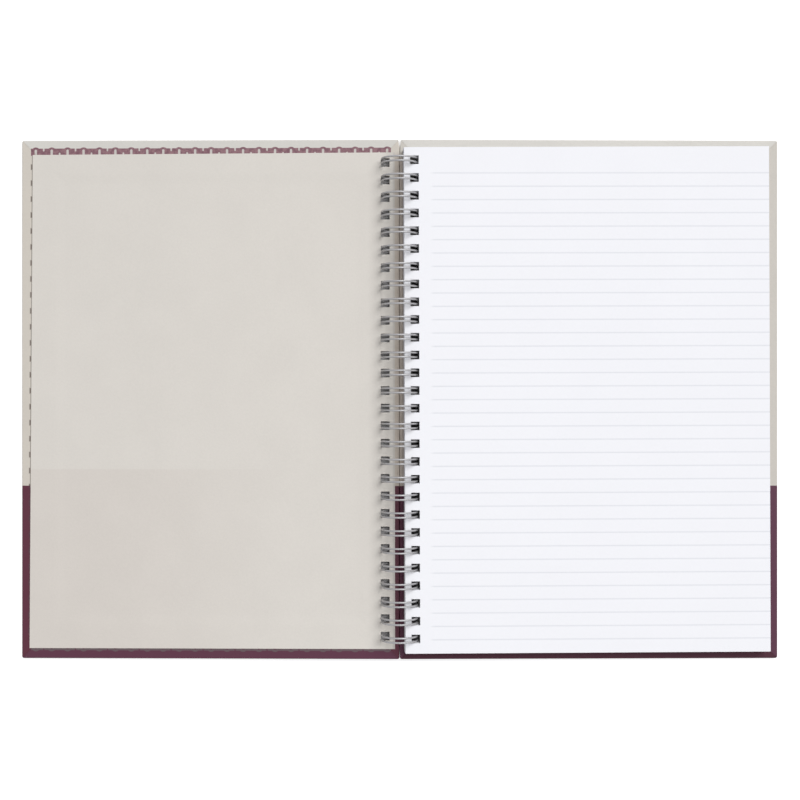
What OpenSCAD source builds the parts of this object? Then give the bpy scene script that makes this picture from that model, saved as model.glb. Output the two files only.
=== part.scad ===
// Hardcover notebook on a twin-loop wire binding, lying open and flat.
// The loops turn about an axis along Y at x = 0, and z = 0 is the table.
// The front cover lies open on the -X side with its inside up. The page block
// lies on the back cover, on the +X side. +Y is the top of the notebook.
// Both covers hang a little above the table at the spine, where the loops
// touch it, and slope down to rest on their outer edges.

/* [Covers] */
// How far a cover stands out past the pages at the outer edge
outer_square = 5.9; // [2:0.1:10]
// How far a cover stands out past the pages at the top and the bottom
end_square = 4.7; // [2:0.1:8]
// Radius of a cover's corners
corner_r = 1; // [0.8:0.1:6]
// Thickness of the grey board
board_t = 1.5; // [0.8:0.1:3]
// Thickness of the paper that covers the board
covering_t = 0.2; // [0.2:0.05:0.4]
// Width of the covering where it is turned in over the board
turn_in_w = 15; // [13:1:25]
// Outer radius of the covering where it folds round the board's edges
fold_r = 0.5; // [0.3:0.05:0.6]
// Gap between the mitred turn-ins at a corner
mitre_gap = 0.2; // [0.1:0.1:1]
// Gap between the spine edges of the two covers
seam_gap = 0.3; // [0.1:0.1:4]

/* [Endpapers] */
// Thickness of an endpaper
endpaper_t = 0.15; // [0.1:0.05:0.3]
// Covering left bare along a cover's outer edge
outer_margin = 4.4; // [2:0.1:6]
// Covering left bare along a cover's top edge
top_margin = 6.5; // [2:0.1:8]
// Covering left bare along a cover's bottom edge
bottom_margin = 4.8; // [2:0.1:8]
// Covering left bare along a cover's spine edge
spine_margin = 2; // [1:0.1:3]

/* [Pages] */
// Width of a page
page_w = 175.5; // [100:0.5:230]
// Height of a page
page_h = 241.5; // [120:0.5:310]
// Number of leaves in the block
leaves = 76; // [20:1:120]
// Thickness of one leaf
leaf_t = 0.1; // [0.06:0.01:0.16]

/* [Punching] */
// Side of a square hole
hole_w = 4.2; // [3.6:0.1:5]
// Distance between neighbouring holes, three to the inch
pitch = 8.4667; // [7:0.1:12]
// Least distance from a page's end to the middle of its first hole
end_margin = 5; // [3:0.5:10]
// Paper left between a page's spine edge and its holes
page_web = 3.15; // [2.5:0.05:4.5]
// Board left between a cover's spine edge and its holes
cover_web = 4.8; // [4:0.1:7]

/* [Wire] */
// Diameter of the wire
wire_d = 0.9; // [0.7:0.05:1.1]
// Distance between the two strands of a loop
twin_gap = 2.1; // [1.7:0.1:2.4]
// Radius of the bends where a strand turns along the spine
base_bend_r = 1; // [0.7:0.1:1.5]
// Angle round the loop from the back cover's holes to where the strands bend
base_past = 5; // [3:0.5:8]
// Gap between the tip of a loop and the base that it closes on
closing_gap = 1.2; // [0.3:0.1:1.5]
// Length of the cut stub at either end of the wire
stub_l = 0.8; // [0.2:0.1:1.5]

/* [Fits] */
// Gap between the page block and the back cover
seat_gap = 0.1; // [0.05:0.05:0.5]
// Gap between the page block and the front cover when the notebook is shut
shut_gap = 0.3; // [0.1:0.05:1]
// Least gap between a strand and the spine side of a cover's hole
inner_clearance = 0.2; // [0.1:0.05:0.5]
// Least gap between a strand and the far side of a hole
outer_clearance = 0.2; // [0.15:0.05:0.8]

/* [Hidden] */

wire_fn = 16;
bend_fn = 64;
cut = 1; // reach of a cutter past the face that it cuts
lap = 0.05; // how far a bar runs on inside the next bend of the same wire
bend_swell = 0.02; // how much thicker a bend is than a bar, so that they join cleanly

// A shut notebook is even about the loops' axis
wire_r = wire_d / 2;
block_t = leaves * leaf_t;
cover_t = board_t + 2 * covering_t + endpaper_t;
inner_drop = (seat_gap + block_t + shut_gap) / 2;
outer_drop = inner_drop + cover_t;

// The holes lie where a round strand clears both of their sides
play = hole_w - wire_d - inner_clearance - outer_clearance;
hole_x_for_wire = (outer_drop * outer_drop - play * play) / (2 * play);
hole_x = max(seam_gap / 2 + cover_web, hole_x_for_wire);
cover_x = hole_x - cover_web;
page_x = hole_x - page_web;
cover_w = page_x + page_w + outer_square - cover_x;
cover_h = page_h + 2 * end_square;
loop_r = norm([hole_x, outer_drop]) + inner_clearance + wire_r;

// The loops touch the table, and so do the folds along both outer edges
axis_z = loop_r + wire_r;
fold_x = cover_x + cover_w - fold_r;
fold_drop = outer_drop - fold_r;
cover_tilt = asin((axis_z - fold_r) / norm([fold_x, fold_drop])) - atan2(fold_drop, fold_x);

loops = 1 + floor((page_h - 2 * end_margin) / pitch);
loop_ys = [for (i = [0 : loops - 1]) (i - (loops - 1) / 2) * pitch];

// A strand starts below the back cover and runs round until its tip meets
// the straight links that join the loops
function loop_angle(length) = atan(length / loop_r);
base_angle = -atan2(outer_drop, hole_x) - base_past;
tip_angle = 360 + base_angle - loop_angle(base_bend_r)
    - loop_angle(wire_r + closing_gap) - loop_angle(twin_gap / 2 + wire_r);
link_l = pitch - twin_gap - 2 * base_bend_r;

module on_right() {
    translate([0, 0, axis_z]) rotate([0, cover_tilt, 0]) children();
}

module on_left() {
    mirror([1, 0, 0]) on_right() children();
}

// A plate over a cover's outline, drawn in by inset, between two heights
module cover_plate(inset, r, z0, z1) {
    x0 = cover_x + inset;
    x1 = cover_x + cover_w - inset;
    y1 = cover_h / 2 - inset;
    translate([0, 0, z0]) linear_extrude(z1 - z0) {
        translate([x0 + r, -y1]) square([x1 - x0 - 2 * r, 2 * y1]);
        translate([x0, -y1 + r]) square([x1 - x0, 2 * y1 - 2 * r]);
        for (x = [x0 + r, x1 - r], y = [-y1 + r, y1 - r])
            translate([x, y]) circle(r, $fn = 32);
    }
}

// A rectangle with round corners
module rounded_section(x0, x1, z0, z1, r) {
    translate([x0 + r, z0]) square([x1 - x0 - 2 * r, z1 - z0]);
    translate([x0, z0 + r]) square([x1 - x0, z1 - z0 - 2 * r]);
    for (x = [x0 + r, x1 - r], z = [z0 + r, z1 - r])
        translate([x, z]) circle(r, $fn = 32);
}

// A plate over a cover's whole outline that is round along its four edges
module folded_plate(z0, z1) {
    intersection() {
        cover_plate(0, corner_r, z0, z1);
        translate([0, cover_h / 2 + cut, 0]) rotate([90, 0, 0])
            linear_extrude(cover_h + 2 * cut)
                rounded_section(cover_x, cover_x + cover_w, z0, z1, fold_r);
        rotate([90, 0, 90]) linear_extrude(cover_x + cover_w + cut)
            rounded_section(-cover_h / 2, cover_h / 2, z0, z1, fold_r);
    }
}

// The window that the turn-ins leave open, drawn in by inset
module turn_in_window(inset, z0, z1) {
    side = turn_in_w + inset;
    translate([cover_x + side, -cover_h / 2 + side, z0])
        cube([cover_w - 2 * side, cover_h - 2 * side, z1 - z0]);
}

// The row of square punched holes, through everything between two heights
module hole_row(z0, z1) {
    for (y = loop_ys)
        translate([hole_x, y - hole_w / 2, z0])
            cube([hole_w, hole_w, z1 - z0]);
}

// The diagonal slit between two turn-ins, inside each corner of a cover
module mitre_slits(z0, z1) {
    slit_l = sqrt(2) * turn_in_w - corner_r + mitre_gap;
    for (side = [-1, 1], end = [-1, 1])
        translate([cover_x + (1 + side) * cover_w / 2, end * cover_h / 2, z0])
            rotate([0, 0, atan2(-end, -side)])
                translate([corner_r, -mitre_gap / 2, 0])
                    cube([slit_l, mitre_gap, z1 - z0]);
}

module board() {
    difference() {
        cover_plate(covering_t, corner_r, covering_t - outer_drop,
                    covering_t + board_t - outer_drop);
        hole_row(-outer_drop - cut, cut - inner_drop);
    }
}

// One sheet folded and glued round the board, with its edges turned in
module covering() {
    board_top = covering_t + board_t - outer_drop;
    difference() {
        folded_plate(-outer_drop, board_top + covering_t);
        cover_plate(covering_t, corner_r - covering_t, covering_t - outer_drop, board_top);
        turn_in_window(0, board_top - covering_t, board_top + covering_t + cut);
        mitre_slits(board_top, board_top + covering_t + cut);
        hole_row(-outer_drop - cut, cut - inner_drop);
    }
}

// A pasted sheet that steps down off the turn-ins onto the board
module endpaper() {
    sheet_z = -inner_drop - endpaper_t;
    difference() {
        union() {
            translate([cover_x + spine_margin, bottom_margin - cover_h / 2, sheet_z])
                cube([cover_w - spine_margin - outer_margin,
                      cover_h - top_margin - bottom_margin, endpaper_t]);
            turn_in_window(0, sheet_z - covering_t, -inner_drop);
        }
        turn_in_window(endpaper_t, -inner_drop - covering_t, cut - inner_drop);
        hole_row(-outer_drop - cut, cut - inner_drop);
    }
}

module front_board() { color([0.62, 0.60, 0.57]) on_left() board(); }
module back_board() { color([0.62, 0.60, 0.57]) on_right() board(); }
module front_covering() { color([0.80, 0.77, 0.74]) on_left() covering(); }
module back_covering() { color([0.80, 0.77, 0.74]) on_right() covering(); }
module front_endpaper() { color([0.85, 0.83, 0.80]) on_left() endpaper(); }
module back_endpaper() { color([0.85, 0.83, 0.80]) on_right() endpaper(); }

module page_block() {
    block_z = seat_gap - inner_drop;
    color([0.96, 0.96, 0.98]) on_right() difference() {
        translate([page_x, -page_h / 2, block_z]) cube([page_w, page_h, block_t]);
        hole_row(block_z - cut, block_z + block_t + cut);
    }
}

// A round bar bent about the Z axis, from one angle to another
module bent_bar(bar_r, bend_r, from, to) {
    rotate([0, 0, from]) rotate_extrude(angle = to - from, $fn = bend_fn)
        translate([bend_r, 0]) circle(bar_r, $fn = wire_fn);
}

// Places children where a strand is at an angle on the loop, in a frame whose
// X runs along the spine, Y on round the loop and Z away from the loop's axis
module at_loop_angle(angle) {
    rotate([0, -angle, 0]) translate([loop_r, 0, 0]) rotate([90, 0, 90]) children();
}

// One strand of a loop: most of a circle about the loops' axis
module strand() {
    rotate([90, 0, 0]) bent_bar(wire_r, loop_r, base_angle - loop_angle(lap),
                                tip_angle + loop_angle(lap));
}

// The hairpin that joins the two strands of a loop at its tip
module loop_tip() {
    at_loop_angle(tip_angle) bent_bar(wire_r + bend_swell, twin_gap / 2, 0, 180);
}

// The bend and the straight bar that lead from a strand along the spine
module base_run(length) {
    at_loop_angle(base_angle) translate([twin_gap / 2 + base_bend_r, 0, 0]) {
        bent_bar(wire_r + bend_swell, base_bend_r, 180, 270);
        translate([-lap, -base_bend_r, 0]) rotate([0, 90, 0])
            cylinder(r = wire_r, h = length + lap, $fn = wire_fn);
    }
}

// The bend that leads into a strand from the link before it
module base_entry() {
    at_loop_angle(base_angle) translate([-twin_gap / 2 - base_bend_r, 0, 0])
        bent_bar(wire_r + bend_swell, base_bend_r, 270, 360);
}

module twin_loop_wire() {
    last = loops - 1;
    color("silver") translate([0, 0, axis_z]) {
        for (i = [0 : last]) translate([0, loop_ys[i], 0]) {
            for (side = [-1, 1]) translate([0, side * twin_gap / 2, 0]) strand();
            loop_tip();
            base_entry();
            base_run(i == last ? stub_l : link_l + lap);
        }
        translate([0, loop_ys[0], 0]) mirror([0, 1, 0]) base_run(stub_l);
    }
}

front_board();
front_covering();
front_endpaper();
back_board();
back_covering();
back_endpaper();
page_block();
twin_loop_wire();
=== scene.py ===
import math
import random

import bmesh
import bpy
import numpy as np
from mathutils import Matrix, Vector


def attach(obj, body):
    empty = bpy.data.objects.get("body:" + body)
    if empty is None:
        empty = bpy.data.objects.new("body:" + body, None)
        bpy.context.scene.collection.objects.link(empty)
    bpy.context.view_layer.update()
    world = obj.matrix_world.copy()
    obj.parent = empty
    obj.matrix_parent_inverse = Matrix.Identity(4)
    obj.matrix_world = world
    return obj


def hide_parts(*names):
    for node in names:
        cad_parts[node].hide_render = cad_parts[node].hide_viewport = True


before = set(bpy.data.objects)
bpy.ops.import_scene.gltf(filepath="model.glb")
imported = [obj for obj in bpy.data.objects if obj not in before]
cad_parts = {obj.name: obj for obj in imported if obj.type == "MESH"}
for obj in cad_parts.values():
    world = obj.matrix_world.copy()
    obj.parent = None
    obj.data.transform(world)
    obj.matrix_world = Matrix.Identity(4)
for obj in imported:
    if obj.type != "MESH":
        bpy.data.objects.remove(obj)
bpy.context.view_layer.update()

# Sizes are in millimetres, as in the CAD source, and turned into metres by MM
MM = 0.001
RIGHT, LEFT = 1, -1

# Covers, in the flat frame of an untilted cover whose origin is the loops' axis
COVER_X = (0.15, 183.2)
COVER_Y = (-125.45, 125.45)
CORNER_R = 1.0
FOLD_R = 0.5
BOARD_T = 1.5
COVERING_T = 0.2
TURN_IN_W = 15.0
# The part of the board that the turn-ins leave bare
WINDOW_X = (COVER_X[0] + TURN_IN_W, COVER_X[1] - TURN_IN_W)
WINDOW_Y = (COVER_Y[0] + TURN_IN_W, COVER_Y[1] - TURN_IN_W)
# How far the covers' outside and inside lie below the axis
OUTER_DROP = 6.05
INNER_DROP = 4.0
COVERING_TOP = -OUTER_DROP + 2 * COVERING_T + BOARD_T
# A ring of points this far in keeps the sheet flat beside its folds
RIM_FLAT = 0.8
# The seams at the mitres: half their width, and where they run along the diagonal
MITRE_HALF_W = 0.05
MITRE_RUN = (0.9, 21.4)

# Endpapers, and the strip over which they sink from the turn-ins onto the board
ENDPAPER_T = 0.15
OUTER_MARGIN = 4.4
TOP_MARGIN = 6.5
BOTTOM_MARGIN = 4.8
SPINE_MARGIN = 2.0
SINK_W = 7.0
# The front endpaper's edges aren't square: their shift, and its growth along them.
# The border printed beside its outer edge leans in with it
SIDE_LEAN = 0.8
OUTER_CUT = (-0.13, -SIDE_LEAN)
SPINE_CUT = (0.25, 0.1)
TOP_CUT = (0.25, -0.8)
FOOT_CUT = 0.15

# Pages
PAGE_X = (1.8, 177.3)
PAGE_Y = (-120.75, 120.75)
LEAVES = 76
LEAF_T = 0.1
LEAF_GAP = 0.016
SEAT_GAP = 0.1
# Spread and limit of the leaves' uneven lie, along x and y
LEAF_SPREAD = (0.045, 0.05)
LEAF_LIMIT = (0.09, 0.12)
# The top leaf's spine edge lies this far in from the lowest one's
LEAN = 0.35
# The other edges' shifts from the block's nominal size
PAGE_OUTER_CUT = -0.33
PAGE_FOOT_CUT = -0.53
PAGE_TOP_CUT = (-0.47, 0.4)
# The block lies askew on the loops, turned by ASKEW radians about this point
ASKEW = 0.0033
ASKEW_AT = (7.0, 75.0)

# Holes and loops
HOLE_W = 4.2
HOLE_FROM_AXIS = 4.95
HOLE_X = (HOLE_FROM_AXIS, HOLE_FROM_AXIS + HOLE_W)
PITCH = 8.4667
LOOPS = 28
LOOP_YS = [(i - (LOOPS - 1) / 2) * PITCH for i in range(LOOPS)]
HOLE_LINES = [y + side * HOLE_W / 2 for y in LOOP_YS for side in (-1, 1)]
WIRE_R = 0.45
WIRE_CLEARANCE = 0.2
TWIN_GAP = 2.1
BEND_R = 1.0
CLOSING_GAP = 1.2
STUB_L = 0.8
LOOP_R = math.hypot(HOLE_FROM_AXIS, OUTER_DROP) + WIRE_CLEARANCE + WIRE_R
AXIS_Z = LOOP_R + WIRE_R
# Angle round the loop from the back cover's holes to where the strands bend
BASE_PAST = math.radians(5)
BASE_ANGLE = -math.atan2(OUTER_DROP, HOLE_FROM_AXIS) - BASE_PAST
TIP_ANGLE = (2 * math.pi + BASE_ANGLE - math.atan(BEND_R / LOOP_R)
             - math.atan((WIRE_R + CLOSING_GAP) / LOOP_R)
             - math.atan((TWIN_GAP / 2 + WIRE_R) / LOOP_R))

# Tilt at which the loops and the folds along the outer edges touch the table
FOLD_AT = (COVER_X[1] - FOLD_R, OUTER_DROP - FOLD_R)
TILT = (math.asin((AXIS_Z - FOLD_R) / math.hypot(*FOLD_AT))
        - math.atan2(FOLD_AT[1], FOLD_AT[0]))

# The print's border of arches: how far in from the cover's edge it runs, the
# centre and radius of its arches, their spacing and where one of them stands
BORDER = (3.95, 7.4)
ARCH_IN = 5.8
ARCH_R = 2.4
ARCH_PERIOD = 7.742
END_ARCH_AT = 6.06
SIDE_ARCH_AT = 4.17
# Its round-ended gaps, each with start, end and half width: one in every arch,
# and between the arches in turn one from the outside and one from the inside
ARCH_GAP = (4.4, 9.0, 0.56)
OUTER_GAP = (3.2, 5.3, 0.36)
INNER_GAP = (5.9, 9.0, 0.4)
# What the endpaper leaves bare of it along the outer edge: where the tops of the
# arches start, half their width, and where the frame line on their inside starts
ARCH_TOP_IN = 3.7
ARCH_TOP_HALF_W = 1.3
FRAME_LINE_IN = 4.25
# Where the strips start: along the top and foot from the spine edge and from the
# outer edge, and along the outer edge from the top and foot
END_STRIP_FROM = (4.1, 4.4)
SIDE_STRIP_FROM = 7.6
# Whole periods that keep the distance along the border positive
PERIODS_AHEAD = 200
# How far in the turn-ins along the top and foot have a tone of their own
END_TONE_W = 8
# Where beige meets burgundy, and where the endpaper's lower part starts
FIELD_LINE = -41.8
ENDPAPER_LINE = -33.8

# Ruling: the first line, the spacing, the number of lines and where they start
RULE_TOP = 107.97
RULE_PITCH = 6.3634
RULES = 36
RULE_START = (14.0, 17.0)

# The values that noise mostly keeps to
NOISE_RANGE = (0.3, 0.7)


# Meshes

def lay(side, points):
    """Turns points from a cover's flat frame into the model's, in metres."""
    points = np.array(points, float)
    x, y, z = points.T
    tilted_x = x * math.cos(TILT) + z * math.sin(TILT)
    tilted_z = z * math.cos(TILT) - x * math.sin(TILT) + AXIS_Z
    return np.stack([side * tilted_x, y, tilted_z], axis=1) * MM


def new_mesh(name, points, faces, merge=False):
    """A mesh whose faces all point outward."""
    mesh = bpy.data.meshes.new(name)
    mesh.from_pydata([tuple(p) for p in points], [], faces)
    shell = bmesh.new()
    shell.from_mesh(mesh)
    if merge:
        bmesh.ops.remove_doubles(shell, verts=shell.verts, dist=1e-7)
        loose = [v for v in shell.verts if not v.link_faces]
        bmesh.ops.delete(shell, geom=loose, context="VERTS")
    bmesh.ops.recalc_face_normals(shell, faces=shell.faces)
    shell.to_mesh(mesh)
    shell.free()
    return mesh


def new_object(name, data):
    thing = bpy.data.objects.new(name, data)
    bpy.context.scene.collection.objects.link(thing)
    return thing


def new_piece(name, points, faces, material, body, replaced, sharp=35):
    """Makes a closed mesh piece from points in metres."""
    mesh = new_mesh(name, points, faces, merge=True)
    for polygon in mesh.polygons:
        polygon.use_smooth = True
    mesh.set_sharp_from_angle(angle=math.radians(sharp))
    mesh.materials.append(material)
    piece = new_object(name, mesh)
    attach(piece, body)
    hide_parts(replaced)
    return piece


def slab(xs, ys, kept, top, bottom, rim=True):
    """A plate over the kept cells of a grid, with walls round its holes.

    rim=False leaves out the wall round the plate's edge."""
    nx, ny = len(xs), len(ys)
    points = [(x, y, top(x, y)) for y in ys for x in xs]
    points += [(x, y, bottom(x, y)) for y in ys for x in xs]
    under = nx * ny
    cells = {(i, j) for j in range(ny - 1) for i in range(nx - 1)
             if kept((xs[i] + xs[i + 1]) / 2, (ys[j] + ys[j + 1]) / 2)}
    faces = []
    for i, j in cells:
        a, b = j * nx + i, j * nx + i + 1
        c, d = b + nx, a + nx
        faces.append((a, b, c, d))
        faces.append((under + d, under + c, under + b, under + a))
        for p, q, beside in ((a, b, (i, j - 1)), (b, c, (i + 1, j)),
                             (c, d, (i, j + 1)), (d, a, (i - 1, j))):
            inside = 0 <= beside[0] < nx - 1 and 0 <= beside[1] < ny - 1
            if beside not in cells and (inside or rim):
                faces.append((q, p, under + p, under + q))
    return points, faces


def off_holes(x, y):
    return not (HOLE_X[0] < x < HOLE_X[1]
                and any(abs(y - loop_y) < HOLE_W / 2 for loop_y in LOOP_YS))


def join(*parts):
    points, faces = [], []
    for more_points, more_faces in parts:
        start = len(points)
        points += list(more_points)
        faces += [tuple(start + i for i in face) for face in more_faces]
    return points, faces


# Coverings

def outline(inset, xs, ys, steps=6):
    """Points round a cover's edge at one inset, anticlockwise from above."""
    (x0, x1), (y0, y1) = COVER_X, COVER_Y
    r = CORNER_R - inset

    def arc(cx, cy, start):
        angles = [math.radians(start + 90 * k / steps) for k in range(1, steps)]
        return [(cx + r * math.cos(a), cy + r * math.sin(a)) for a in angles]

    left, right = x0 + CORNER_R, x1 - CORNER_R
    low, high = y0 + CORNER_R, y1 - CORNER_R
    return ([(x, y0 + inset) for x in xs] + arc(right, low, -90)
            + [(x1 - inset, y) for y in ys] + arc(right, high, 0)
            + [(x, y1 - inset) for x in reversed(xs)] + arc(left, high, 90)
            + [(x0 + inset, y) for y in reversed(ys)] + arc(left, low, 180))


def bridge(rings):
    """A skin over rings that have as many points each."""
    points, faces = [], []
    n = len(rings[0])
    for ring in rings:
        points += ring
    for k in range(len(rings) - 1):
        for i in range(n):
            j = (i + 1) % n
            faces.append((k * n + i, k * n + j, (k + 1) * n + j, (k + 1) * n + i))
    return points, faces


def covering_shell(fold_steps=5):
    """One sheet round a board: outside, rounded folds and turned-in edges."""
    (x0, x1), (y0, y1) = COVER_X, COVER_Y
    top, t = COVERING_TOP, COVERING_T
    xs = sorted([x0 + CORNER_R, *HOLE_X, *WINDOW_X, x1 - CORNER_R])
    ys = sorted([y0 + CORNER_R, *HOLE_LINES, *WINDOW_Y, y1 - CORNER_R])

    def in_frame(x, y):
        in_window = WINDOW_X[0] < x < WINDOW_X[1] and WINDOW_Y[0] < y < WINDOW_Y[1]
        return not in_window and off_holes(x, y)

    turn_ins = slab(xs, ys, in_frame, lambda x, y: top, lambda x, y: top - t,
                    rim=False)
    outside = slab(xs, ys, off_holes, lambda x, y: t - OUTER_DROP,
                   lambda x, y: -OUTER_DROP, rim=False)
    bends = [math.radians(90 * k / fold_steps) for k in range(fold_steps + 1)]
    outer = [(CORNER_R, top), (RIM_FLAT, top)]
    outer += [(FOLD_R * (1 - math.sin(a)), top - FOLD_R * (1 - math.cos(a)))
              for a in bends]
    outer += [(FOLD_R * (1 - math.cos(a)), -OUTER_DROP + FOLD_R * (1 - math.sin(a)))
              for a in bends]
    outer += [(RIM_FLAT, -OUTER_DROP), (CORNER_R, -OUTER_DROP)]
    inner = [(CORNER_R, top - t), (t, top - t), (t, t - OUTER_DROP),
             (CORNER_R, t - OUTER_DROP)]
    shells = [bridge([[(x, y, z) for x, y in outline(d, xs, ys)]
                      for d, z in profile]) for profile in (outer, inner)]
    return join(turn_ins, outside, *shells)


def cut_mitres(piece, side):
    """Cuts the diagonal seams between the turn-ins out of a covering."""
    (x0, x1), (y0, y1) = COVER_X, COVER_Y
    near, far = MITRE_RUN
    half = MITRE_HALF_W
    points, faces = [], []
    for sx, cx in ((1, x0), (-1, x1)):
        for sy, cy in ((1, y0), (-1, y1)):
            along = np.array([sx, sy]) / math.sqrt(2)
            across = np.array([-sy, sx]) / math.sqrt(2)
            start = len(points)
            # The cut ends just above the turn-ins' underside and keeps it whole
            for z in (COVERING_TOP - COVERING_T + 0.01, COVERING_TOP + 0.3):
                for run, off in ((near, -half), (far, -half),
                                 (far, half), (near, half)):
                    p = np.array([cx, cy]) + along * run + across * off
                    points.append((p[0], p[1], z))
            for face in ((3, 2, 1, 0), (4, 5, 6, 7), (0, 1, 5, 4), (1, 2, 6, 5),
                         (2, 3, 7, 6), (3, 0, 4, 7)):
                faces.append(tuple(start + i for i in face))
    mesh = new_mesh("cutter", lay(side, points), faces)
    cutter = new_object("cutter", mesh)
    step = piece.modifiers.new("mitres", "BOOLEAN")
    step.operation = "DIFFERENCE"
    step.solver = "EXACT"
    step.object = cutter
    bpy.context.view_layer.update()
    with bpy.context.temp_override(object=piece, active_object=piece,
                                   selected_objects=[piece]):
        bpy.ops.object.modifier_apply(modifier="mitres")
    bpy.data.objects.remove(cutter)
    bpy.data.meshes.remove(mesh)


# Endpapers

def endpaper_shell(side, ramp_steps=8):
    """A pasted sheet that sinks softly from the turn-ins onto the board."""
    (x0, x1), (y0, y1) = COVER_X, COVER_Y
    ramp = [SINK_W * k / ramp_steps for k in range(ramp_steps + 1)]
    spine_x, outer_x = x0 + SPINE_MARGIN, x1 - OUTER_MARGIN
    foot_y, top_y = y0 + BOTTOM_MARGIN, y1 - TOP_MARGIN
    xs = sorted([spine_x, *HOLE_X, outer_x]
                + [WINDOW_X[0] + r for r in ramp] + [WINDOW_X[1] - r for r in ramp])
    ys = sorted([foot_y, *HOLE_LINES, top_y]
                + [WINDOW_Y[0] + r for r in ramp] + [WINDOW_Y[1] - r for r in ramp])

    def sink(x, y):
        depth = min(x - WINDOW_X[0], WINDOW_X[1] - x, y - WINDOW_Y[0], WINDOW_Y[1] - y)
        s = min(max(depth / SINK_W, 0), 1)
        return COVERING_T * s * s * (3 - 2 * s)

    def trimmed(x, y, z):
        """The front sheet was cut a little out of square."""
        up = y / y1
        shift_x = {outer_x: OUTER_CUT[0] + OUTER_CUT[1] * up,
                   spine_x: SPINE_CUT[0] + SPINE_CUT[1] * up}.get(x, 0)
        out = min(x + shift_x, outer_x) / x1
        shift_y = {top_y: TOP_CUT[0] + TOP_CUT[1] * out, foot_y: FOOT_CUT}.get(y, 0)
        return x + shift_x, y + shift_y, z

    points, faces = slab(xs, ys, off_holes, lambda x, y: -INNER_DROP - sink(x, y),
                         lambda x, y: -INNER_DROP - ENDPAPER_T - sink(x, y))
    if side == LEFT:
        points = [trimmed(*p) for p in points]
    return points, faces


# Leaves

def leaf_stack(rng):
    xs = [PAGE_X[0], *HOLE_X, PAGE_X[1]]
    ys = sorted([*PAGE_Y, *HOLE_LINES])
    parts = []

    def trimmed(x, y, lean):
        """The block was cut a little out of square, and lies askew."""
        top_cut = PAGE_TOP_CUT[0] + PAGE_TOP_CUT[1] * x / PAGE_X[1]
        shift_x = {PAGE_X[0]: lean, PAGE_X[1]: PAGE_OUTER_CUT}.get(x, 0)
        shift_y = {PAGE_Y[0]: PAGE_FOOT_CUT, PAGE_Y[1]: top_cut}.get(y, 0)
        return (x + shift_x - ASKEW * (y - ASKEW_AT[1]),
                y + shift_y + ASKEW * (x - ASKEW_AT[0]))

    for k in range(LEAVES):
        bottom = SEAT_GAP - INNER_DROP + k * LEAF_T
        dx, dy = [max(-limit, min(limit, rng.gauss(0, spread)))
                  for spread, limit in zip(LEAF_SPREAD, LEAF_LIMIT)]
        lean = LEAN * (k / LEAVES) ** 3
        points, faces = slab(xs, ys, off_holes,
                             lambda x, y: bottom + LEAF_T - LEAF_GAP / 2,
                             lambda x, y: bottom + LEAF_GAP / 2)
        moved = []
        for x, y, z in points:
            new_x, new_y = trimmed(x, y, lean)
            moved.append((new_x + dx, new_y + dy, z))
        parts.append((moved, faces))
    return join(*parts)


# Wire

def wire_path(bend_steps=6, arc_steps=52, tip_steps=12):
    """Points along the middle of the one wire, from stub to stub."""
    def on_loop(angle, u, v):
        x = LOOP_R * math.cos(angle) - v * math.sin(angle)
        z = LOOP_R * math.sin(angle) + v * math.cos(angle)
        return x, u, z

    def base_bend(u, start):
        """The quarter turn between the base run and a strand of a loop."""
        angles = [math.radians(start + 90 * k / bend_steps)
                  for k in range(bend_steps + 1)]
        return [on_loop(BASE_ANGLE, u + BEND_R * math.cos(a), BEND_R * math.sin(a))
                for a in angles]

    half = TWIN_GAP / 2
    path = [on_loop(BASE_ANGLE, LOOP_YS[0] - half - BEND_R - STUB_L, -BEND_R)]
    for y in LOOP_YS:
        arc = [BASE_ANGLE + (TIP_ANGLE - BASE_ANGLE) * k / arc_steps
               for k in range(1, arc_steps)]
        tip = [math.radians(180 - 180 * k / tip_steps) for k in range(tip_steps + 1)]
        path += base_bend(y - half - BEND_R, 270)
        path += [on_loop(a, y - half, 0) for a in arc]
        path += [on_loop(TIP_ANGLE, y + half * math.cos(a), half * math.sin(a))
                 for a in tip]
        path += [on_loop(a, y + half, 0) for a in reversed(arc)]
        path += base_bend(y + half + BEND_R, 180)
    path.append(on_loop(BASE_ANGLE, LOOP_YS[-1] + half + BEND_R + STUB_L, -BEND_R))
    return np.array(path) + (0, 0, AXIS_Z)


def tube(path, radius, sides=12):
    """A round tube along a path, closed at its two ends."""
    ahead = np.roll(path, -1, axis=0) - path
    ahead[-1] = ahead[-2]
    behind = np.roll(ahead, 1, axis=0)
    behind[0] = ahead[0]
    tangents = (ahead / np.linalg.norm(ahead, axis=1)[:, None]
                + behind / np.linalg.norm(behind, axis=1)[:, None])
    tangents /= np.linalg.norm(tangents, axis=1)[:, None]
    normal = np.cross(tangents[0], (0, 0, 1.0))
    points = []
    for p, t in zip(path, tangents):
        normal = normal - t * normal.dot(t)
        normal /= np.linalg.norm(normal)
        other = np.cross(t, normal)
        for k in range(sides):
            a = 2 * math.pi * k / sides
            points.append(p + radius * (math.cos(a) * normal + math.sin(a) * other))
    faces = []
    for i in range(len(path) - 1):
        for k in range(sides):
            m = (k + 1) % sides
            faces.append((i * sides + k, i * sides + m,
                          (i + 1) * sides + m, (i + 1) * sides + k))
    last = (len(path) - 1) * sides
    faces.append(tuple(reversed(range(sides))))
    faces.append(tuple(last + k for k in range(sides)))
    return np.array(points) * MM, faces


# Materials

def colour(r, g, b):
    """A linear colour from its 0 to 255 screen values."""
    def linear(c):
        c /= 255
        return c / 12.92 if c <= 0.04045 else ((c + 0.055) / 1.055) ** 2.4
    return linear(r), linear(g), linear(b), 1


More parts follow.
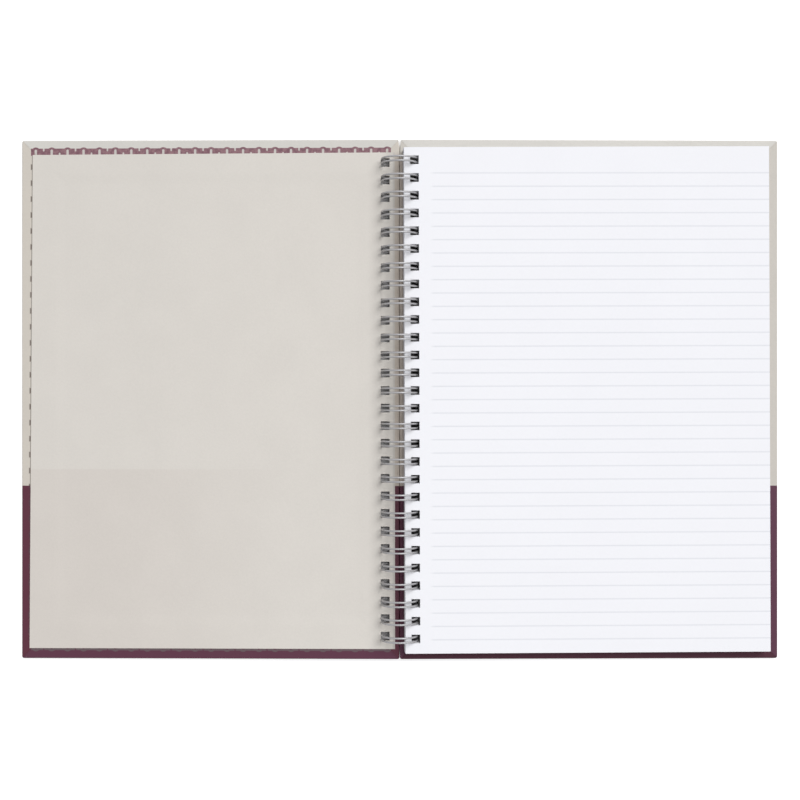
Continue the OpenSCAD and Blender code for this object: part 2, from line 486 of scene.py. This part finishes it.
class Nodes:
    """A node tree. Its calls add a node and return its output socket."""

    def __init__(self, tree):
        self.tree = tree

    def add(self, kind, inputs=None, **settings):
        node = self.tree.nodes.new("ShaderNode" + kind)
        for key, value in settings.items():
            setattr(node, key, value)
        for key, value in (inputs or {}).items():
            self.put(node.inputs[key], value)
        return node

    def put(self, socket, value):
        if isinstance(value, bpy.types.NodeSocket):
            self.tree.links.new(value, socket)
        elif socket.type == "VECTOR":
            socket.default_value = value[:3]
        else:
            socket.default_value = value

    def math(self, operation, *values):
        return self.add("Math", dict(enumerate(values)), operation=operation).outputs[0]

    def chain(self, operation, first, *others):
        for other in others:
            first = self.math(operation, first, other)
        return first

    def plus(self, *values):
        return self.chain("ADD", *values)

    def minus(self, a, b):
        return self.math("SUBTRACT", a, b)

    def times(self, *values):
        return self.chain("MULTIPLY", *values)

    def smallest(self, *values):
        return self.chain("MINIMUM", *values)

    def largest(self, *values):
        return self.chain("MAXIMUM", *values)

    def length(self, a, b):
        return self.math("SQRT", self.plus(self.times(a, a), self.times(b, b)))

    def ramp(self, value, low, high, to_low=0.0, to_high=1.0):
        """Maps value smoothly from low..high to to_low..to_high."""
        node = self.add("MapRange", {0: value, 1: low, 2: high, 3: to_low, 4: to_high},
                        interpolation_type="SMOOTHSTEP")
        return node.outputs[0]

    def background_rays(self):
        """1 for what the camera sees, straight, mirrored or through glass."""
        rays = self.add("LightPath").outputs
        return self.largest(*[rays[f"Is {kind} Ray"]
                              for kind in ("Camera", "Glossy", "Transmission")])


class Paint(Nodes):
    """The node tree of an object's material, with x, y and z in millimetres."""

    def __init__(self, name, **fixed):
        self.material = bpy.data.materials.new(name)
        self.material.use_nodes = True
        super().__init__(self.material.node_tree)
        self.shader = self.tree.nodes["Principled BSDF"]
        for key, value in fixed.items():
            self.shader.inputs[key.replace("_", " ")].default_value = value
        self.mm = self.scaled(self.add("TexCoord").outputs["Object"], 1 / MM)
        self.x, self.y, self.z = self.add("SeparateXYZ", {0: self.mm}).outputs

    def set(self, **inputs):
        for key, value in inputs.items():
            self.put(self.shader.inputs[key.replace("_", " ")], value)

    def scaled(self, vector, factor):
        node = self.add("VectorMath", {0: vector, 3: factor}, operation="SCALE")
        return node.outputs[0]

    def mix(self, factor, a, b):
        return self.add("Mix", {0: factor, 6: a, 7: b}, data_type="RGBA").outputs[2]

    def noise(self, scale, detail=3.0, roughness=0.55, stretch=(1, 1, 1)):
        """Noise over millimetres: scale is how many features a millimetre has."""
        place = self.add("VectorMath", {0: self.mm, 1: stretch}, operation="MULTIPLY")
        node = self.add("TexNoise", {"Vector": place.outputs[0], "Scale": scale,
                                     "Detail": detail, "Roughness": roughness})
        return node.outputs[0]

    def shade(self, base, value, amount):
        """Lightens and darkens base by amount as noise goes from low to high."""
        return self.scaled(base, self.ramp(value, *NOISE_RANGE, 1 - amount, 1 + amount))

    def bump(self, height, depth):
        """Bump whose height of 1 stands depth millimetres high."""
        node = self.add("Bump", {"Height": height, "Distance": depth * MM})
        self.put(self.shader.inputs["Normal"], node.outputs[0])


def paper_fibres(paint, base, strength=1.0):
    """Adds the cloudiness, fibres and specks of paper to a base colour."""
    cloud = paint.noise(0.045, 3, 0.5)
    tone = paint.shade(base, cloud, 0.012 * strength)
    mottle = paint.noise(0.9, 4, 0.6)
    tone = paint.shade(tone, mottle, 0.014 * strength)
    grain = paint.noise(3.2, 3, 0.7, stretch=(1, 0.45, 1))
    tone = paint.shade(tone, grain, 0.012 * strength)
    return tone, mottle, grain


def border_strip(paint, s, t):
    """Negative in the dark print of a border of arches along one edge, and in
    the border as a whole.

    s is how far a point lies in from the cover's edge, t how far along it."""
    half_period = ARCH_PERIOD / 2
    t = paint.plus(t, PERIODS_AHEAD * ARCH_PERIOD - END_ARCH_AT)
    near_arch = paint.math("PINGPONG", t, half_period)
    near_out = paint.math("PINGPONG", paint.plus(t, half_period), ARCH_PERIOD)
    near_in = paint.math("PINGPONG", paint.minus(t, half_period), ARCH_PERIOD)
    strip = paint.largest(paint.minus(BORDER[0], s), paint.minus(s, BORDER[1]))
    arch = paint.minus(paint.length(near_arch, paint.minus(s, ARCH_IN)), ARCH_R)
    whole = dark = paint.smallest(strip, arch)

    def slot(near, start, end, half):
        """A round-ended gap that runs along s from start to end."""
        past = paint.largest(paint.minus(start + half, s),
                             paint.minus(s, end - half), 0)
        return paint.minus(paint.length(near, past), half)

    for gap in (slot(near_arch, *ARCH_GAP), slot(near_out, *OUTER_GAP),
                slot(near_in, *INNER_GAP)):
        dark = paint.largest(dark, paint.times(gap, -1))
    return dark, whole


def arch_tops(paint, s, t):
    """Negative in the tops of such arches and in the frame line on their inside.

    The endpaper covers the rest of them."""
    t = paint.plus(t, PERIODS_AHEAD * ARCH_PERIOD)
    near_arch = paint.math("PINGPONG", t, ARCH_PERIOD / 2)
    arch = paint.largest(paint.minus(ARCH_TOP_IN, s),
                         paint.minus(near_arch, ARCH_TOP_HALF_W))
    frame_line = paint.minus(FRAME_LINE_IN, s)
    return paint.largest(paint.smallest(arch, frame_line), paint.minus(s, BORDER[1]))


def covering_material():
    """Printed, coated paper: two fields of colour and a border on the inside."""
    paint = Paint("covering_print", Roughness=0.5, IOR=1.35)
    across = paint.math("ABSOLUTE", paint.x)
    from_end = paint.minus(COVER_Y[1], paint.math("ABSOLUTE", paint.y))
    # The tilt brings the outer edge 0.08 mm nearer
    from_outer = paint.minus(COVER_X[1] - 0.08, across)
    from_spine = paint.minus(across, COVER_X[0])
    height = paint.plus(paint.times(across, math.tan(TILT)), paint.z)
    inside = paint.math("GREATER_THAN", height, AXIS_Z - INNER_DROP - 0.6)
    on_right = paint.math("GREATER_THAN", paint.x, 0)
    # The turn-ins along the top and foot, as far as their mitres. Their tone is painted
    # light at the top and, on the back cover, a painted shadow of the pages at the foot
    reach = paint.smallest(END_TONE_W, from_outer, from_spine)
    past_mitre = paint.minus(reach, from_end)
    on_end = paint.times(paint.ramp(past_mitre, -0.4, 0.4), inside)
    # The strips beside the seam, that the endpaper leaves bare, with painted shade in
    # their darker tone
    on_spine = paint.times(paint.ramp(from_spine, 2.8, 2.4),
                           paint.ramp(from_end, 5.5, 10), inside)

    def field(plain, plain_right, spine, spine_right, end, end_right):
        tone = paint.mix(on_right, colour(*plain), colour(*plain_right))
        tone = paint.mix(on_spine, tone, paint.mix(on_right, colour(*spine),
                                                   colour(*spine_right)))
        return paint.mix(on_end, tone, paint.mix(on_right, colour(*end),
                                                 colour(*end_right)))

    # Painted light and shade: the tones are lit and shaded copies of each colour. The
    # top turn-ins are painted lighter, the strips beside the seam darker, the back
    # cover's beige darker, and its burgundy foot darkest as the pages' painted shadow
    beige = field(plain=(205, 198, 188), plain_right=(199, 194, 186),
                  spine=(187, 177, 166), spine_right=(201, 190, 180),
                  end=(210, 207, 201), end_right=(210, 207, 201))
    burgundy = field(plain=(86, 40, 55), plain_right=(85, 46, 65),
                     spine=(78, 38, 51), spine_right=(82, 41, 59),
                     end=(87, 46, 64), end_right=(68, 26, 42))
    lower = paint.ramp(paint.y, FIELD_LINE + 0.1, FIELD_LINE - 0.1)
    tone = paint.mix(lower, beige, burgundy)

    # The border is printed along the front cover's turned-in edges
    printed = paint.times(paint.math("LESS_THAN", paint.x, 0), inside)
    spine_start, outer_start = END_STRIP_FROM
    end_strip, end_ground = [
        paint.ramp(paint.largest(part, paint.minus(outer_start, from_outer),
                                 paint.minus(spine_start, from_spine)), 0.15, -0.13)
        for part in border_strip(paint, from_end, across)]
    end_print = paint.largest(end_strip, paint.times(end_ground, 0.2))
    ink_spread = paint.ramp(paint.noise(0.7, 2), 0.35, 0.65)
    end_ink = paint.mix(lower, paint.mix(ink_spread, colour(120, 85, 95),
                                         colour(143, 109, 115)), colour(96, 81, 85))
    tone = paint.mix(paint.times(end_print, printed), tone, end_ink)
    from_trim = paint.minus(from_outer, paint.times(paint.y, SIDE_LEAN / COVER_Y[1]))
    side_strip = paint.largest(
        arch_tops(paint, from_trim, paint.minus(paint.y, SIDE_ARCH_AT)),
        paint.minus(SIDE_STRIP_FROM, from_end))
    side_strip = paint.ramp(side_strip, 0.35, -0.25)
    side_ink = paint.mix(lower, colour(116, 106, 99), colour(80, 50, 60))
    tone = paint.mix(paint.times(side_strip, printed), tone, side_ink)

    # Fibres, rubbed edges, and painted light: the corners beside the seam are painted
    # pale at the top, where the white floor shows between them
    tone, mottle, grain = paper_fibres(paint, tone)
    edge = paint.smallest(from_end, from_outer, from_spine)
    worn = paint.times(paint.ramp(edge, 0.4, 0.05),
                       paint.ramp(paint.noise(0.35, 5, 0.7), 0.5, 0.75), 0.18)
    tone = paint.mix(worn, tone, colour(198, 188, 182))
    from_top = paint.minus(COVER_Y[1], paint.y)
    corner = paint.plus(from_spine, paint.times(from_top, 0.22))
    tone = paint.mix(paint.ramp(corner, 0.85, 0.65), tone, colour(240, 239, 236))
    paint.set(Base_Color=tone, Roughness=paint.ramp(mottle, *NOISE_RANGE, 0.44, 0.58))
    paint.bump(paint.plus(mottle, paint.times(grain, 0.5)), 0.02)
    return paint.material


def endpaper_material():
    """Uncoated cream paper, a little darker in its lower part."""
    paint = Paint("endpaper_sheet", Roughness=0.85, IOR=1.3)
    across = paint.math("ABSOLUTE", paint.x)
    lower = paint.ramp(paint.y, ENDPAPER_LINE + 0.5, ENDPAPER_LINE - 0.5)
    shade = paint.times(lower, paint.ramp(across, 30, 150), 0.5)
    tone = paint.mix(shade, colour(217, 212, 205), colour(209, 201, 194))
    # Painted light: the sheet is a little lighter towards the spine and darker towards
    # its outer edge
    painted_shading = paint.ramp(across, 10, 175, 1.025, 0.99)
    # Painted shade: the strip between the holes and the spine is darkened, where the
    # loops shade it
    for near, far, least in ((5.4, 8.6, 0.88), (2.8, 3.7, 0.86)):
        painted_shading = paint.times(painted_shading, paint.ramp(across, near, far, least, 1.0))
    tone, mottle, grain = paper_fibres(paint, paint.scaled(tone, painted_shading), 0.9)
    paint.set(Base_Color=tone)
    paint.bump(paint.plus(mottle, grain), 0.02)
    return paint.material


def page_material():
    """White writing paper with feint ruling."""
    paint = Paint("page_sheet", Roughness=0.8, IOR=1.3)
    across = paint.minus(paint.x, ASKEW_AT[0])
    sheet_y = paint.minus(paint.y, paint.times(across, ASKEW))
    row = paint.math("DIVIDE", paint.minus(RULE_TOP, sheet_y), RULE_PITCH)
    off = paint.times(paint.math("PINGPONG", row, 0.5), RULE_PITCH)
    line = paint.times(paint.ramp(off, 0.5, 0.1),
                       paint.math("GREATER_THAN", row, -0.5),
                       paint.math("LESS_THAN", row, RULES - 0.5),
                       paint.ramp(paint.x, *RULE_START),
                       paint.ramp(paint.noise(2.5, 2), 0.25, 0.6, 0.75, 1.0))
    tone = paint.mix(line, colour(245, 245, 249), colour(229, 230, 235))

    # Painted shadow: faint grey on the margin beside each loop, where the loops shade
    # the paper
    turns = paint.math("DIVIDE", paint.minus(paint.y, LOOP_YS[0]), PITCH)
    near_loop = paint.times(paint.math("PINGPONG", turns, 0.5), PITCH)
    loop_shadow = paint.times(paint.ramp(near_loop, 2.1, 1.1), paint.ramp(paint.x, 5.6, 4.2),
                         0.12)
    tone = paint.mix(loop_shadow, tone, colour(198, 199, 205))

    # The cut edges of the leaves
    normal = paint.add("NewGeometry").outputs["Normal"]
    upright = paint.math("ABSOLUTE", paint.add("SeparateXYZ", {0: normal}).outputs[2])
    layers = paint.noise(4.0, 3, 0.6, stretch=(0.15, 0.15, 5))
    cut_edge = paint.mix(paint.ramp(layers, *NOISE_RANGE), colour(208, 208, 208),
                         colour(228, 228, 229))
    tone = paint.mix(paint.ramp(upright, 0.7, 0.3), tone, cut_edge)
    tone, mottle, grain = paper_fibres(paint, tone, 0.35)
    paint.set(Base_Color=tone)
    paint.bump(paint.plus(mottle, grain), 0.008)
    return paint.material


def board_material():
    """Grey board, with the fibres and specks of its pulp."""
    paint = Paint("grey_board_pulp", Roughness=0.9, IOR=1.3)
    layers = paint.noise(2.0, 4, 0.6, stretch=(0.3, 0.3, 4))
    tone = paint.shade(colour(158, 152, 144), layers, 0.10)
    specks = paint.noise(4.0, 2)
    tone = paint.mix(paint.ramp(specks, 0.66, 0.74), tone, colour(96, 90, 84))
    paint.set(Base_Color=tone)
    paint.bump(layers, 0.05)
    return paint.material


def wire_material():
    """Drawn steel wire with a satin silver finish."""
    paint = Paint("silver_wire", Metallic=0.5, Roughness=0.46)
    clouds = paint.noise(0.8, 3)
    tone = paint.shade(colour(169, 168, 170), clouds, 0.04)
    paint.set(Base_Color=tone, Roughness=paint.ramp(clouds, *NOISE_RANGE, 0.40, 0.52))
    scratches = paint.noise(6.0, 3, 0.6)
    paint.bump(scratches, 0.004)
    return paint.material


# Pieces

covering_look = covering_material()
endpaper_look = endpaper_material()
board_look = board_material()
shell_points, shell_faces = covering_shell()
for side, half in ((RIGHT, "back"), (LEFT, "front")):
    body = half + "_cover"
    wrap = new_piece(half + "_cover_wrap", lay(side, shell_points), shell_faces,
                     covering_look, body, half + "_covering")
    cut_mitres(wrap, side)
    sheet_points, sheet_faces = endpaper_shell(side)
    new_piece(half + "_inner_sheet", lay(side, sheet_points), sheet_faces,
              endpaper_look, body, half + "_endpaper")
    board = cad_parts[half + "_board"]
    for material_slot in board.material_slots:
        material_slot.material = board_look

stack_points, stack_faces = leaf_stack(random.Random(7))
new_piece("ruled_leaves", lay(RIGHT, stack_points), stack_faces, page_material(),
          "pages", "page_block")

wire_points, wire_faces = tube(wire_path(), WIRE_R)
new_piece("binding_wire", wire_points, wire_faces, wire_material(),
          "back_cover", "twin_loop_wire", sharp=60)


# Floor, light and camera, in metres

def make_floor(half_w=3, drop=0.0001, grey=0.62, glow=0.65, reach=0.02):
    """A pale floor. Its glow makes it white where nothing stands over it."""
    corners = [(-half_w, -half_w, 0), (half_w, -half_w, 0), (half_w, half_w, 0),
               (-half_w, half_w, 0)]
    mesh = bpy.data.meshes.new("floor")
    mesh.from_pydata(corners, [], [(0, 1, 2, 3)])
    floor = new_object("floor", mesh)
    floor.location.z = -drop
    material = bpy.data.materials.new("floor_white")
    material.use_nodes = True
    floor_nodes = Nodes(material.node_tree)
    material.node_tree.nodes.remove(material.node_tree.nodes["Principled BSDF"])
    # The glow fades where the object covers the floor, as under the holes
    cover = floor_nodes.add("AmbientOcclusion", {"Distance": reach}, samples=16)
    open_floor = floor_nodes.ramp(cover.outputs["AO"], 0.15, 0.4)
    strength = floor_nodes.times(floor_nodes.background_rays(), open_floor, glow)
    diffuse = floor_nodes.add("BsdfDiffuse", {"Color": (grey, grey, grey, 1)})
    emission = floor_nodes.add("Emission", {"Strength": strength})
    total = floor_nodes.add("AddShader", {0: diffuse.outputs[0],
                                          1: emission.outputs[0]})
    output = material.node_tree.nodes["Material Output"]
    floor_nodes.put(output.inputs["Surface"], total.outputs[0])
    mesh.materials.append(material)


def make_world():
    """Soft light from all sides, with white behind the object."""
    world = bpy.data.worlds.new("studio")
    bpy.context.scene.world = world
    world.use_nodes = True
    sky = Nodes(world.node_tree)
    soft = world.node_tree.nodes["Background"]
    soft.inputs["Color"].default_value = (0.97, 0.98, 1.0, 1)
    soft.inputs["Strength"].default_value = 0.40
    white = sky.add("Background", {"Color": (1, 1, 1, 1)})
    mixed = sky.add("MixShader", {0: sky.background_rays(), 1: soft.outputs[0],
                                  2: white.outputs[0]})
    sky.put(world.node_tree.nodes["World Output"].inputs["Surface"], mixed.outputs[0])


def make_lamp(toward=(0.42, 0.5, 1.0)):
    lamp = bpy.data.lights.new("key", "SUN")
    lamp.energy = 2.25
    lamp.angle = math.radians(38)
    holder = new_object("key", lamp)
    holder.rotation_euler = Vector(toward).to_track_quat("Z", "Y").to_euler()


def make_camera():
    camera = bpy.data.cameras.new("overhead")
    camera.sensor_width = 36
    camera.lens = 60.847
    camera.clip_start = 0.01
    camera.clip_end = 20
    holder = new_object("overhead", camera)
    holder.location = (0.00014, -0.00031, 0.65736)
    bpy.context.scene.camera = holder


make_floor()
make_world()
make_lamp()
make_camera()
bpy.context.scene.view_settings.view_transform = "Standard"
